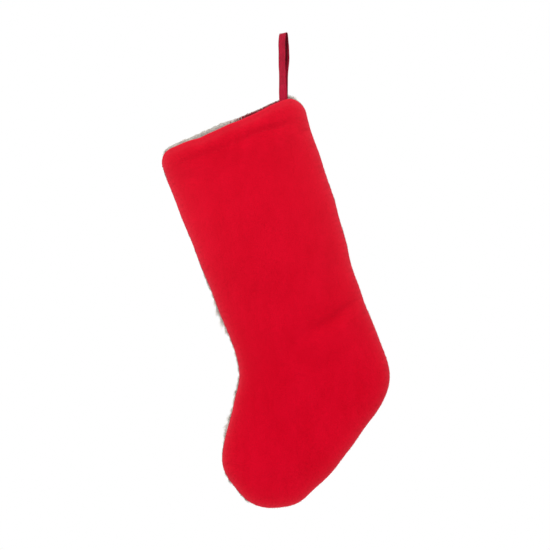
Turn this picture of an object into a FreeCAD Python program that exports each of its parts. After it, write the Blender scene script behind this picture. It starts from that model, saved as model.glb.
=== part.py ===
"""A hanging stocking: a red plush back, a grey fur front, a lining bag and a ribbon loop.

Millimetres, +Z up, X across the flat of the stocking with the toe on the -X side, and the
red back facing -Y. The origin is the point inside the top of the ribbon loop that bears on
a hook. The bag's two halves meet at the seam plane, which lies behind the loop in Y.
"""
import FreeCAD, Part
import Sketcher
import math
import os

V = FreeCAD.Vector

# Alias, value, meaning. Lengths in millimetres, angles in degrees.
DIMENSIONS = (
    ("mouth_x", -21, "a point on the mouth line"),
    ("mouth_z", -87, "height of that point"),
    ("mouth_slope", 23.4, "how far the mouth line rises towards +X"),
    ("mouth_front_round", 10, "mouth corner above the toe"),
    ("mouth_heel_round", 20, "mouth corner above the heel"),
    ("far_lip_rise", 4, "how much higher the fur front's mouth stands"),
    ("hem_width", 24, "cloth turned in at the mouth"),
    ("allowance", 8, "seam allowance inside the outline"),
    ("plush_wall", 1.6, "red plush cloth"),
    ("fur_wall", 2.4, "fur cloth without its pile"),
    ("lining_wall", 0.6, "lining cloth"),
    ("lining_inset", 8.4, "lining bag inside the outline"),
    ("lining_gap", 0.2, "lining clear of the panels"),
    ("back_depth", 10, "seam plane to the outside of the back"),
    ("back_rim", 9.5, "rounding of the back towards the seam"),
    ("front_depth", 12, "seam plane to the outside of the front"),
    ("front_rim", 11.5, "rounding of the front towards the seam"),
    ("inner_rim", 6, "rounding inside the panels"),
    ("lining_rim", 7, "rounding of the lining"),
    ("seam_plane", 6.2, "the seam plane behind the hook point"),
    ("ribbon_width", 10, "ribbon"),
    ("ribbon_wall", 0.6, "ribbon"),
    ("loop_bend", 5, "inside radius of the loop over the hook"),
    ("loop_turn", 25, "turn of the loop about the vertical"),
    ("loop_closes", 46, "depth at which the two legs meet"),
    ("twist_height", 50, "bottom of the loop, where the ribbon twists"),
    ("sway_height", 57, "where the ribbon bends sideways"),
    ("swing_height", 65, "where the ribbon bends to front and back"),
    ("neck_gap", 0.5, "half the gap at each bend"),
    ("ends_bottom", 100, "lower edge of the sewn ribbon ends"),
    ("thread_width", 0.6, "sewing thread"),
    ("stitch_length", 2.6, "one stitch"),
    ("stitch_pitch", 4, "from stitch to stitch"),
    ("hem_stitch_drop", 21, "the hem's stitches below the mouth"),
    ("seam_stitch_inset", 4, "the seam's thread inside the outline"),
)

# The outline's corners from the mouth down the toe side and up the heel side: x, z, rounding.
CORNERS = (
    ("ankle", -51, -402, 51),
    ("toe_top", -77, -513, 37),
    ("toe_tip", -39, -572, 40),
    ("ball", 17, -566, 34),
    ("sole", 75, -507, 200),
    ("heel_low", 129, -426, 35),
    ("heel_back", 117, -376, 60),
    ("calf", 57, -195, 200),
)
# Where the two long sides point above the mouth.
SHIN_TOP = ("shin_top", -163, -115)
CALF_TOP = ("calf_top", 26, -87)

doc = FreeCAD.newDocument("hanging_stocking")
sheet = doc.addObject("Spreadsheet::Sheet", "Dimensions")
parts = []


def fill_sheet():
    """Every driving size gets a cell with an alias and a note beside it."""
    rows = list(DIMENSIONS)
    for name, x, z, bend in CORNERS:
        rows.append((name + "_x", x, "outline corner"))
        rows.append((name + "_z", z, "outline corner"))
        rows.append((name + "_round", bend, "outline corner"))
    for name, x, z in (SHIN_TOP, CALF_TOP):
        rows.append((name + "_x", x, "end of a long side"))
        rows.append((name + "_z", z, "end of a long side"))
    for number, (alias, value, meaning) in enumerate(rows, 1):
        sheet.set(f"A{number}", alias)
        sheet.set(f"B{number}", str(value))
        sheet.set(f"C{number}", meaning)
        sheet.setAlias(f"B{number}", alias)
    doc.recompute()


def size(alias):
    return float(sheet.get(alias))


def bind(thing, prop, formula):
    """Ties a property to the sheet; names in the formula are written with a leading $."""
    thing.setExpression(prop, formula.replace("$", "Dimensions."))


# ---------------------------------------------------------------- outline geometry

def crossing(p, along_p, q, along_q):
    """Where the line through p meets the line through q, in the x-z plane."""
    det = along_p[0] * along_q[1] - along_p[1] * along_q[0]
    reach = ((q[0] - p[0]) * along_q[1] - (q[1] - p[1]) * along_q[0]) / det
    return (p[0] + along_p[0] * reach, p[1] + along_p[1] * reach)


def mouth_line(rise):
    """A point and direction of the line parallel to the mouth and rise above it."""
    slope = math.radians(size("mouth_slope"))
    along = (math.cos(slope), math.sin(slope))
    return (size("mouth_x") - along[1] * rise, size("mouth_z") + along[0] * rise), along


def side_lines(inset):
    """Each side of the outline moved inwards, as (point, direction), toe side first."""
    names = ["shin_top"] + [corner[0] for corner in CORNERS] + ["calf_top"]
    points = [(size(name + "_x"), size(name + "_z")) for name in names]
    lines = []
    for p, q in zip(points[:-1], points[1:]):
        length = math.dist(p, q)
        along = ((q[0] - p[0]) / length, (q[1] - p[1]) / length)
        lines.append(((p[0] - along[1] * inset, p[1] + along[0] * inset), along))
    return lines


def turns_left(before, after):
    return before[0] * after[1] - before[1] * after[0] > 0


def outline(inset, rise):
    """Corners (x, z, radius) of the outline moved inwards and ended at a mouth line."""
    lines = side_lines(inset)
    top, along = mouth_line(rise)
    corners = [crossing(*lines[0], top, along) + (0,)]
    for name, before, after in zip([c[0] for c in CORNERS], lines[:-1], lines[1:]):
        change = -inset if turns_left(before[1], after[1]) else inset
        corners.append(crossing(*before, *after) + (size(name + "_round") + change,))
    corners.append(crossing(*lines[-1], top, along) + (0,))
    return corners


def rounded(corners):
    """Line and arc edges of a closed path with each corner rounded, in the sketch plane."""
    pieces = []
    ends = []
    for index, (x, z, bend) in enumerate(corners):
        here = V(x, z, 0)
        back = (V(*corners[index - 1][:2], 0) - here).normalize()
        ahead = (V(*corners[(index + 1) % len(corners)][:2], 0) - here).normalize()
        if not bend:
            ends.append((here, here, None))
            continue
        half = back.getAngle(ahead) / 2
        start = here + back * (bend / math.tan(half))
        stop = here + ahead * (bend / math.tan(half))
        centre = here + (back + ahead).normalize() * (bend / math.sin(half))
        middle = centre + (here - centre).normalize() * bend
        ends.append((start, stop, middle))
    for index, (start, stop, middle) in enumerate(ends):
        if middle is not None:
            pieces.append(left_arc(start, middle, stop))
        following = ends[(index + 1) % len(ends)][0]
        pieces.append(Part.LineSegment(stop, following))
    return pieces


def hem_band(inset, low, high):
    """The four corners of the leg between two lines parallel to the mouth."""
    lines = side_lines(inset)
    bottom, top = mouth_line(low), mouth_line(high)
    return [crossing(*lines[0], *top) + (0,), crossing(*lines[0], *bottom) + (0,),
            crossing(*lines[-1], *bottom) + (0,), crossing(*lines[-1], *top) + (0,)]


def left_arc(start, middle, stop):
    """An arc through three points that always runs anticlockwise, as a sketch stores it."""
    if (middle - start).cross(stop - middle).z < 0:
        start, stop = stop, start
    return Part.Arc(start, middle, stop)


def mouth_cut(rise):
    """The region outside the mouth, with both mouth corners rounded."""
    lines = side_lines(-0.2)
    top, along = mouth_line(rise)
    toe_side = crossing(*lines[0], top, along)
    heel_side = crossing(*lines[-1], top, along)
    down_shin, up_calf = lines[0][1], lines[-1][1]
    reach = 60
    left = (toe_side[0] + down_shin[0] * reach, toe_side[1] + down_shin[1] * reach)
    right = (heel_side[0] - up_calf[0] * reach, heel_side[1] - up_calf[1] * reach)
    return [
        left + (0,),
        toe_side + (size("mouth_front_round"),),
        heel_side + (size("mouth_heel_round"),),
        right + (0,),
        (right[0] + reach, right[1], 0),
        (right[0] + reach, reach, 0),
        (left[0] - reach, reach, 0),
        (left[0] - reach, left[1], 0),
    ]


# ---------------------------------------------------------------- features

def new_body(label, behind="$seam_plane"):
    """A body whose own X-Z plane lies behind the hook point by a formula."""
    body = doc.addObject("PartDesign::Body", label)
    body.Label = label
    bind(body, ".Placement.Base.y", behind)
    return body


def sketch(body, name, edges, plane="XZ_Plane"):
    """A closed sketch of lines and arcs on one of the body's own planes."""
    drawing = body.newObject("Sketcher::SketchObject", name)
    flat = [f for f in body.Origin.OriginFeatures if f.Role == plane][0]
    drawing.AttachmentSupport = [(flat, "")]
    drawing.MapMode = "FlatFace"
    drawing.addGeometry(edges, False)
    for index in range(len(edges)):
        join_ends(drawing, index, (index + 1) % len(edges))
    return drawing


def end_points(geometry):
    return geometry.StartPoint, geometry.EndPoint


def join_ends(drawing, first, second):
    """Coincidence of the two nearest ends of neighbouring edges."""
    pairs = []
    for a, p in enumerate(end_points(drawing.Geometry[first]), 1):
        for b, q in enumerate(end_points(drawing.Geometry[second]), 1):
            pairs.append((p.distanceToPoint(q), a, b))
    _, a, b = min(pairs)
    drawing.addConstraint(Sketcher.Constraint("Coincident", first, a, second, b))


def computed(feature):
    """The feature, once it has computed to a valid shape."""
    doc.recompute()
    if "Invalid" in feature.State or feature.Shape.isNull() or not feature.Shape.isValid():
        raise ValueError(feature.Name + " did not compute: " + feature.getStatusString())
    return feature


def pad(body, name, profile, length, forwards):
    feature = body.newObject("PartDesign::Pad", name)
    feature.Profile = profile
    feature.Reversed = not forwards
    bind(feature, "Length", length)
    return computed(feature)


def pocket(body, name, profile, length, forwards):
    """A cut that starts at the sketch and runs the same way as the pad."""
    before = body.Shape.Volume
    feature = body.newObject("PartDesign::Pocket", name)
    feature.Profile = profile
    feature.Reversed = forwards
    bind(feature, "Length", length)
    if computed(feature).Shape.Volume > before - 1:
        raise ValueError(name + " cuts nothing")


def round_edges(body, name, base, wanted, formula):
    """Fillets the edges that the test picks."""
    names = []
    for number, edge in enumerate(base.Shape.Edges, 1):
        if wanted(edge):
            names.append(f"Edge{number}")
    feature = body.newObject("PartDesign::Fillet", name)
    feature.Base = (base, names)
    bind(feature, "Radius", formula)
    return computed(feature)


def at_depth(box, corners, forwards, top):
    """Picks the edges at the far side of a block, all but those along a mouth line.

    A block with no mouth line of its own is rounded along its two long sides only.
    """
    depth = box.YMin if forwards else box.YMax
    tops = [mouth_line(top)] if top is not None else [
        (corners[0][:2], mouth_line(0)[1]), (corners[1][:2], mouth_line(0)[1])]

    def wanted(edge):
        middle = edge.valueAt((edge.FirstParameter + edge.LastParameter) / 2)
        ends = [middle] + [vertex.Point for vertex in edge.Vertexes]
        if any(abs(spot.y - depth) > 1e-4 for spot in ends):
            return False
        for point, along in tops:
            off = -(middle.x - point[0]) * along[1] + (middle.z - point[1]) * along[0]
            if abs(off) < 1e-3:
                return False
        return True

    return wanted


def rimmed_block(body, name, corners, start, depth, rim, forwards, top):
    """A pad from the start depth to the full depth, rounded along all but its top edge."""
    profile = sketch(body, name + "_outline", rounded(corners))
    bind(profile, ".AttachmentOffset.Base.z", f"({start}) * {1 if forwards else -1}")
    doc.recompute()
    block = pad(body, name + "_block", profile, f"{depth} - ({start})", forwards)
    edges = at_depth(block.Shape.BoundBox, corners, forwards, top)
    return round_edges(body, name + "_rim", block, edges, rim)


def half_bag(label, wall, depth, rim, forwards, lip):
    """One outer panel: an open shell with its hem turned in and its seam allowance."""
    above, below = 30, -size("hem_width")
    inside = new_body(label + "_inside", "0")
    rimmed_block(inside, label + "_bag", outline(size(wall), below), f"${wall}",
                 f"${depth} - ${wall}", "$inner_rim", forwards, below)
    profile = sketch(inside, label + "_allowance", rounded(outline(size("allowance"), below)))
    pad(inside, label + "_opening", profile, f"${wall} + 1", forwards)
    hem_inside = new_body(label + "_hem_inside", "0")
    rimmed_block(hem_inside, label + "_hem", hem_band(2 * size(wall), below, above + 10), "0",
                 f"${depth} - 2 * ${wall}", "$inner_rim", forwards, None)

    body = new_body(label)
    rimmed_block(body, label, outline(0, above), "0", f"${depth}", f"${rim}",
                 forwards, above)
    cut_away(body, (inside, hem_inside))
    profile = sketch(body, label + "_mouth_edge", rounded(mouth_cut(lip)))
    pocket(body, label + "_mouth", profile, f"${depth} + 1", forwards)
    parts.append(body)


def half_lining(label, wall, depth, forwards):
    """One half of the lining bag, from the lower edge of the hem down."""
    below = -size("hem_width")
    inset = size("lining_inset")
    reach = f"${depth} - ${wall} - $lining_gap"
    inside = new_body(label + "_inside", "0")
    rimmed_block(inside, label + "_hollow", outline(inset + size("lining_wall"), below + 10),
                 "0", reach + " - $lining_wall", "$lining_rim - $lining_wall", forwards,
                 below + 10)
    body = new_body(label)
    rimmed_block(body, label, outline(inset, below), "0", reach, "$lining_rim",
                 forwards, below)
    cut_away(body, (inside,))
    parts.append(body)


def cut_away(body, insides):
    """Takes the volume of other bodies, placed in this body's own frame, out of it."""
    before = body.Shape.Volume
    cut = body.newObject("PartDesign::Boolean", body.Label + "_hollowed")
    cut.Type = "Cut"
    for inside in insides:
        cut.addObject(inside)
    if computed(cut).Shape.Volume > before - 1:
        raise ValueError(body.Label + " was not hollowed")


# ---------------------------------------------------------------- ribbon

def loop_edges():
    """Outer and inner edges of the loop's band: an arc over the hook and two straight legs."""
    bend, wall = size("loop_bend"), size("ribbon_wall")
    closes, bottom = -size("loop_closes"), -size("twist_height") + size("neck_gap")
    centre = V(0, -bend, 0)
    inner = tangent_drop(centre, bend, V(0, closes, 0))
    outer = tangent_drop(centre, bend + wall, V(wall, closes - 1, 0))
    left, right = V(-wall, bottom, 0), V(wall, bottom, 0)
    outside = [
        Part.Arc(outer, centre + V(0, bend + wall, 0), mirrored(outer)),
        Part.LineSegment(mirrored(outer), V(-wall, closes - 1, 0)),
        Part.LineSegment(V(-wall, closes - 1, 0), left),
        Part.LineSegment(left, right),
        Part.LineSegment(right, V(wall, closes - 1, 0)),
        Part.LineSegment(V(wall, closes - 1, 0), outer),
    ]
    inside = [
        Part.Arc(inner, centre + V(0, bend, 0), mirrored(inner)),
        Part.LineSegment(mirrored(inner), V(0, closes, 0)),
        Part.LineSegment(V(0, closes, 0), inner),
    ]
    return outside, inside


def mirrored(point):
    return V(-point.x, point.y, 0)


def tangent_drop(centre, radius, foot):
    """The point where a line from the foot touches the +x side of a circle."""
    to_foot = foot - centre
    lean = math.atan2(to_foot.y, to_foot.x) + math.acos(radius / to_foot.Length)
    return centre + V(math.cos(lean), math.sin(lean), 0) * radius


def hanging_loop():
    """The doubled ribbon over the hook, down to where it twists."""
    body = new_body("hanging_loop", "0")
    outside, inside = loop_edges()
    profile = body.newObject("Sketcher::SketchObject", "loop_band")
    flat = [f for f in body.Origin.OriginFeatures if f.Role == "YZ_Plane"][0]
    profile.AttachmentSupport = [(flat, "")]
    profile.MapMode = "FlatFace"
    for edges in (outside, inside):
        first = len(profile.Geometry)
        profile.addGeometry(edges, False)
        for index in range(len(edges)):
            join_ends(profile, first + index, first + (index + 1) % len(edges))
    band = body.newObject("PartDesign::Pad", "loop_width")
    band.Profile = profile
    band.Midplane = True
    bind(band, "Length", "$ribbon_width")
    bind(body, ".Placement.Rotation.Angle", "-$loop_turn")
    body.Placement = FreeCAD.Placement(V(), FreeCAD.Rotation(V(0, 0, 1), -size("loop_turn")))
    doc.recompute()
    parts.append(body)


def ribbon_piece(label, edges):
    """A flat piece of the doubled ribbon, centred on the loop's own vertical plane."""
    body = new_body(label, "0")
    profile = sketch(body, label + "_shape", edges)
    piece = body.newObject("PartDesign::Pad", label + "_wall")
    piece.Profile = profile
    piece.Midplane = True
    bind(piece, "Length", "2 * $ribbon_wall")
    doc.recompute()
    parts.append(body)


def domed(top, bottom, dome_up):
    """A ribbon's width with one square end and one round end."""
    half = size("ribbon_width") / 2
    if dome_up:
        top, bottom = bottom, top
    step = half if dome_up else -half
    shoulder = bottom - step
    return [
        Part.LineSegment(V(-half, top, 0), V(half, top, 0)),
        Part.LineSegment(V(half, top, 0), V(half, shoulder, 0)),
        left_arc(V(half, shoulder, 0), V(0, bottom, 0), V(-half, shoulder, 0)),
        Part.LineSegment(V(-half, shoulder, 0), V(-half, top, 0)),
    ]


def ribbon_pieces():
    """The two short pieces between the bends, and the ends sewn inside the hem."""
    gap, half = size("neck_gap"), size("ribbon_width") / 2
    twist, sway, swing = (-size(n + "_height") for n in ("twist", "sway", "swing"))
    ribbon_piece("loop_neck_upper", domed(twist - gap, sway + gap, False))
    ribbon_piece("loop_neck_lower", domed(sway - gap, swing + 1.5 * gap, True))
    top, bottom = swing - 1.5 * gap, -size("ends_bottom")
    corners = [(-half, top, 0), (half, top, 0), (half, bottom, 0), (-half, bottom, 0)]
    ribbon_piece("loop_ends", rounded(corners))


# ---------------------------------------------------------------- thread

def bar(length, width, wall, turn, place):
    """One stitch: a small bar along the x-z plane, turned about Y."""
    stitch = Part.makeBox(length, wall, width, V(-length / 2, -wall / 2, -width / 2))
    stitch.Placement = FreeCAD.Placement(place, FreeCAD.Rotation(V(0, 1, 0), -turn))
    return stitch


def stitch_row(label, outside, inside):
    """The hem's stitches, seen as a row on both faces of the doubled cloth."""
    width, pitch = size("thread_width"), size("stitch_pitch")
    (x, z), along = mouth_line(-size("hem_stitch_drop"))
    lines = side_lines(18)
    start = crossing(*lines[0], (x, z), along)
    stop = crossing(*lines[-1], (x, z), along)
    count = int(math.dist(start, stop) / pitch)
    stitches = []
    for number in range(count):
        reach = (number + 0.5) * pitch
        place = V(start[0] + along[0] * reach, 0, start[1] + along[1] * reach)
        for face, way in ((outside, 1), (inside, -1)):
            place.y = face + way * math.copysign(width / 2, outside)
            if way < 0 and abs(place.x) < size("ribbon_width") / 2 + 2 and outside < 0:
                continue
            stitches.append(bar(size("stitch_length"), width, width,
                                size("mouth_slope"), V(place)))
    add_thread(label, stitches)


def add_thread(label, solids):
    """A group of separate stitches as one sub-part on the seam plane."""
    thread = doc.addObject("Part::Feature", label)
    thread.Label = label
    thread.Shape = Part.makeCompound(solids)
    thread.Placement = FreeCAD.Placement(V(0, size("seam_plane"), 0), FreeCAD.Rotation())
    parts.append(thread)


def side_seam():
    """The thread round the outline, one run on each allowance inside the bag."""
    width, inset = size("thread_width"), size("seam_stitch_inset")
    runs = []
    for face, way in ((size("plush_wall"), -1), (size("fur_wall"), 1)):
        outer = outline(inset - width / 2, -size("hem_width") - 2)
        inner = outline(inset + width / 2, -size("hem_width") + 2)
        band = outline_face(outer).cut(outline_face(inner))
        run = band.extrude(V(0, way * width, 0))
        run.translate(V(0, way * face, 0))
        runs.extend(run.Solids)
    add_thread("side_seam_thread", runs)


def outline_face(corners):
    edges = [piece.toShape() for piece in rounded(corners)]
    wire = Part.Wire(Part.__sortEdges__(edges))
    face = Part.Face(wire)
    return face.rotated(V(), V(1, 0, 0), 90)


def bartack():
    """Close rows of stitches that hold the ribbon's ends to the inside of the hem."""
    width, rows = size("thread_width"), 3
    face = size("ribbon_wall") + width / 2
    stitches = []
    for row in range(rows):
        height = -size("ends_bottom") + 5 + 4 * row
        for number in range(6):
            place = V((number - 2.5) * 1.4, face - size("seam_plane"), height)
            stitches.append(bar(2.4, width, width, 90, place))
    add_thread("loop_bartack", stitches)


# ---------------------------------------------------------------- build

def check_and_write():
    """Every object must have computed, and every sub-part must be a valid shape."""
    doc.recompute()
    for thing in doc.Objects:
        if "Invalid" in thing.State or "Error" in thing.State:
            raise ValueError(thing.Name + " did not compute")
    os.makedirs("parts", exist_ok=True)
    for piece in parts:
        if piece.Shape.isNull() or not piece.Shape.isValid():
            raise ValueError(piece.Label + " has no valid shape")
    for piece in parts:
        piece.Shape.exportStep(f"parts/{piece.Label}.step")
        box = piece.Shape.BoundBox
        print(f"{piece.Label}: {len(piece.Shape.Solids)} solids, {piece.Shape.Volume:.0f} mm3, "
              f"x {box.XMin:.1f}..{box.XMax:.1f}, y {box.YMin:.1f}..{box.YMax:.1f}, "
              f"z {box.ZMin:.1f}..{box.ZMax:.1f}")


fill_sheet()
half_bag("back_panel", "plush_wall", "back_depth", "back_rim", True, 0)
half_bag("front_panel", "fur_wall", "front_depth", "front_rim", False, size("far_lip_rise"))
half_lining("back_lining", "plush_wall", "back_depth", True)
half_lining("front_lining", "fur_wall", "front_depth", False)
hanging_loop()
ribbon_pieces()
side_seam()
stitch_row("back_hem_thread", -size("back_depth"), -size("back_depth") + 2 * size("plush_wall"))
stitch_row("front_hem_thread", size("front_depth"), size("front_depth") - 2 * size("fur_wall"))
bartack()
check_and_write()
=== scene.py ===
"""A hanging stocking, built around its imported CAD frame: plush back, fur front, lining, ribbon."""
import math

import bpy
import numpy as np
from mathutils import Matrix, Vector
from mathutils.geometry import delaunay_2d_cdt
from mathutils.kdtree import KDTree


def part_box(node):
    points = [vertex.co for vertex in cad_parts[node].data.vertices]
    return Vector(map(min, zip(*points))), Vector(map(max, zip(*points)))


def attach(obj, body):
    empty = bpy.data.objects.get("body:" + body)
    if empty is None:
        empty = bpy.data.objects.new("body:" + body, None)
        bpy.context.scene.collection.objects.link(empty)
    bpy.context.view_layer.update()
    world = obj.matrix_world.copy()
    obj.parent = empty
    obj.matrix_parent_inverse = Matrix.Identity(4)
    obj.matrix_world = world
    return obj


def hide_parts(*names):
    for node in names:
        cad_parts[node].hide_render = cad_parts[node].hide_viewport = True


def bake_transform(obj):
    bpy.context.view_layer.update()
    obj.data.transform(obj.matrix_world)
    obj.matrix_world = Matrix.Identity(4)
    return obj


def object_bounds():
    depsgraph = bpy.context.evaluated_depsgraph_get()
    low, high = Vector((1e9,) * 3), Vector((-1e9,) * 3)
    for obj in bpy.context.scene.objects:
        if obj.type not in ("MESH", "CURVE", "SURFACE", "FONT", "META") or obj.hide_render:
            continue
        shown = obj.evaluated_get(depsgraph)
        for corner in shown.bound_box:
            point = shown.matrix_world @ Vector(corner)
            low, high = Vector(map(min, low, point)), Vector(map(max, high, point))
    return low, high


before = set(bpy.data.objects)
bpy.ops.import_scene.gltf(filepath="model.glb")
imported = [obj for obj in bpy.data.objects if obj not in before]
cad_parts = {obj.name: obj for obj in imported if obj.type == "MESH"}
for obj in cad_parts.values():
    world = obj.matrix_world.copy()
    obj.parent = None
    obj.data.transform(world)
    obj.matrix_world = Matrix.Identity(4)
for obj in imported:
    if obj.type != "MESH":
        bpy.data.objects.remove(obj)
CAD_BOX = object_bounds()
MM = 0.001

BACK_LOW, BACK_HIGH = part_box("back_panel")
FRONT_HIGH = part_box("front_panel")[1]
SEAM_Y = BACK_HIGH[1]      # the plane between the two cloths, m
SEAM = SEAM_Y / MM         # the same in mm, like all that follows
BACK_DEPTH = (SEAM_Y - BACK_LOW[1]) / MM
FRONT_DEPTH = (FRONT_HIGH[1] - SEAM_Y) / MM

# The plush cloth's outline: x, z and the rounding of each corner, down the toe side and up
# the heel side.
CORNERS = (
    (-164, -115, 0), (-49, -403, 73), (-78, -518, 43), (-36, -573, 47), (17, -565, 35),
    (60, -524, 200), (136, -419, 63), (97, -329, 60), (58, -193, 200), (23, -88, 0),
)
OUTLINE_STEP = 0.5         # between samples of the outline
OVER_MOUTH = 40            # how far the heel side is drawn past the mouth
END_RUN = 400              # samples at either end of the outline that hold the mouth's corners
MOUTH_POINT = np.array([-21.0, -87.0])
MOUTH_SLOPE = math.radians(23.4)
MOUTH_ALONG = np.array([math.cos(MOUTH_SLOPE), math.sin(MOUTH_SLOPE)])
MOUTH_UP = np.array([-MOUTH_ALONG[1], MOUTH_ALONG[0]])
TOE_CORNER_ROUND = 20
HEEL_CORNER_ROUND = 21
BAG_MIDDLE = np.array([0.0, -300.0])
RIM = 10                   # rounding of the bag towards its seam
SEAM_DIP = math.radians(-25)
PLUSH_WALLS = (1.6, 3.2)   # one layer, and the two layers of the hem
FUR_WALLS = (2.2, 4.4)
LINING_WALL = 0.5
LINING_TOP = -15           # the lining's upper edge, tucked under the hem
LINING_INSET = 8.6
HEM_PITCH = 4.0            # between the hem's stitches


def smooth(x, low, high):
    """0 below low, 1 above high, smooth between; high may be below low."""
    t = np.clip((x - low) / (high - low), 0, 1)
    return t * t * (3 - 2 * t)


def bell(x, centre, width):
    """1 at the centre, falling off evenly to both sides."""
    return np.exp(-((x - centre) / width) ** 2)


def unit(vectors):
    """The vectors at length 1."""
    return vectors / np.maximum(np.linalg.norm(vectors, axis=1)[:, None], 1e-9)


# ---------------------------------------------------------------- smooth random fields

class Waves:
    """A smooth random field from -1 to 1: plane waves of about one wavelength, added up."""

    def __init__(self, wavelength, dims=2, count=14, seed=1):
        draw = np.random.default_rng(seed)
        way = draw.normal(size=(count, dims))
        way /= np.linalg.norm(way, axis=1)[:, None]
        self.way = way * (2 * math.pi / wavelength * draw.uniform(0.7, 1.4, (count, 1)))
        self.phase = draw.uniform(0, 2 * math.pi, count)
        self.gain = 1 / math.sqrt(count)

    def __call__(self, points):
        total = np.zeros(len(points))
        for way, phase in zip(self.way, self.phase):
            total += np.sin(points @ way + phase)
        return np.clip(total * self.gain, -1, 1)


# ---------------------------------------------------------------- outline

def rounded_path(corners, step):
    """Points along a path of straight runs joined by tangent arcs, open at both ends."""
    points = []
    for index, (x, z, bend) in enumerate(corners):
        here = np.array([x, z], float)
        if not bend:
            points.append(here)
            continue
        back = np.array(corners[index - 1][:2]) - here
        ahead = np.array(corners[index + 1][:2]) - here
        back /= np.linalg.norm(back)
        ahead /= np.linalg.norm(ahead)
        half = math.acos(np.clip(back @ ahead, -1, 1)) / 2
        centre = here + (back + ahead) / np.linalg.norm(back + ahead) * bend / math.sin(half)
        start = here + back * bend / math.tan(half) - centre
        stop = here + ahead * bend / math.tan(half) - centre
        first = math.atan2(start[1], start[0])
        turn = (math.atan2(stop[1], stop[0]) - first + math.pi) % (2 * math.pi) - math.pi
        for share in np.linspace(0, 1, 40):
            angle = first + turn * share
            points.append(centre + bend * np.array([math.cos(angle), math.sin(angle)]))
    return resampled(np.array(points), step)


def resampled(points, step):
    """The same path with evenly spaced points."""
    reach = np.concatenate([[0], np.cumsum(np.linalg.norm(np.diff(points, axis=0), axis=1))])
    wanted = np.linspace(0, reach[-1], int(reach[-1] / step) + 1)
    return np.column_stack([np.interp(wanted, reach, points[:, k]) for k in range(points.shape[1])])


def softened(points, radius):
    """The plan path with its changes of curve eased over a length in samples."""
    kernel = np.exp(-(np.arange(-3 * radius, 3 * radius + 1) / radius) ** 2 / 2)
    kernel /= kernel.sum()
    pad = len(kernel) // 2
    before = 2 * points[0] - points[pad:0:-1]
    after = 2 * points[-1] - points[-2:-pad - 2:-1]
    long = np.vstack([before, points, after])
    return np.column_stack([np.convolve(long[:, k], kernel, "valid") for k in range(2)])


def normals_of(points):
    """Outward normals of the outline, which runs anticlockwise."""
    along = np.gradient(points, axis=0)
    along /= np.linalg.norm(along, axis=1)[:, None]
    return np.column_stack([along[:, 1], -along[:, 0]])


def search_tree(places):
    """A tree that finds the nearest of some places in space."""
    tree = KDTree(len(places))
    for index, place in enumerate(places):
        tree.insert(place, index)
    tree.balance()
    return tree


def planar(points):
    """Plan points (x, z) as places in space, for a search tree."""
    return np.column_stack([points, np.zeros(len(points))])


class Outline:
    """The seam line of the bag, as evenly spaced points with their outward normals."""

    def __init__(self):
        last = np.array(CORNERS[-1][:2], float)
        way = last - np.array(CORNERS[-2][:2], float)
        last += way / np.linalg.norm(way) * OVER_MOUTH
        path = softened(rounded_path([*CORNERS[:-1], (*last, 0)], OUTLINE_STEP), 12)
        path += normals_of(path) * self.swell(path)[:, None]
        self.path = resampled(softened(path, 10), OUTLINE_STEP)
        self.normal = normals_of(self.path)
        self.tree = search_tree(planar(self.path))

    @staticmethod
    def swell(path):
        """The heel side draws in over the fold and swells under it; the seam wanders a little."""
        right = path[:, 0] > 40
        fold_end = 1.5 * bell(path[:, 1], -338, 20) - 1.6 * bell(path[:, 1], -277, 24)
        wander = 0.35 * np.sin(path[:, 1] / 7.5 + path[:, 0] / 19)
        spread = 0.9 * smooth(path[:, 0], 20, 45) + 0.7 * smooth(path[:, 1], -545, -565)
        return right * fold_end + wander + spread

    def near(self, points):
        """(distance inside the outline, nearest sample) of plan points."""
        found = np.array([self.tree.find(place)[1] for place in planar(points)])
        inside = np.einsum("ij,ij->i", self.path[found] - points, self.normal[found])
        return inside, found

    def offset(self, inset):
        return self.path - self.normal * inset


OUTLINE = Outline()


def above_mouth(points):
    """Height of plan points over the mouth line, square to it, and distance along it."""
    from_mouth = points - MOUTH_POINT
    return from_mouth @ MOUTH_UP, from_mouth @ MOUTH_ALONG


def mouth_place(along, height):
    """The plan point at a distance along the mouth line and a height over it."""
    return MOUTH_POINT + np.multiply.outer(along, MOUTH_ALONG) + np.multiply.outer(height, MOUTH_UP)


def mouth_crossing(run):
    """Distance along the mouth line at which a run of the outline crosses it."""
    height, along = above_mouth(run)
    return along[np.argmin(np.abs(height))]


MOUTH_SPAN = (mouth_crossing(OUTLINE.path[:END_RUN]), mouth_crossing(OUTLINE.path[-END_RUN:]))
RIBBON_ALONG = above_mouth(np.array([[0.0, -75.0]]))[1][0]


def mouth_share(along):
    """0 at the toe end of the mouth, 1 at the heel end."""
    return (along - MOUTH_SPAN[0]) / (MOUTH_SPAN[1] - MOUTH_SPAN[0])


def lip_wave(share):
    """Both lips waver a little along the mouth, in mm."""
    return 0.4 * np.sin(share * 15 + 0.6) + 0.2 * np.sin(share * 41)


def near_lip(share):
    """Height of the plush side's lip over the mouth line, in mm: it sags in its middle."""
    sag = 1.7 * smooth(share, 0.23, 0.31) * smooth(share, 0.74, 0.64)
    return -3.5 - sag - 0.8 * smooth(share, 0.62, 0.73) + lip_wave(share)


def far_lip(share):
    """The fur side's lip stands over the plush side's, most near the toe end."""
    return -1.7 + lip_wave(share) + 1.3 * smooth(share, 0.58, 0.42) * smooth(share, 0.02, 0.12)


def hem_depth_at(share):
    """The hem is turned in a little deeper towards the heel side."""
    deeper = 6 * smooth(share, 0.66, 0.86) + 4 * smooth(share, 0.84, 1.0)
    return 18.2 + 2.4 * smooth(share, 0.15, 0.45) - 1.2 * bell(share, 0.64, 0.08) + deeper


# ---------------------------------------------------------------- meshes

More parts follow.
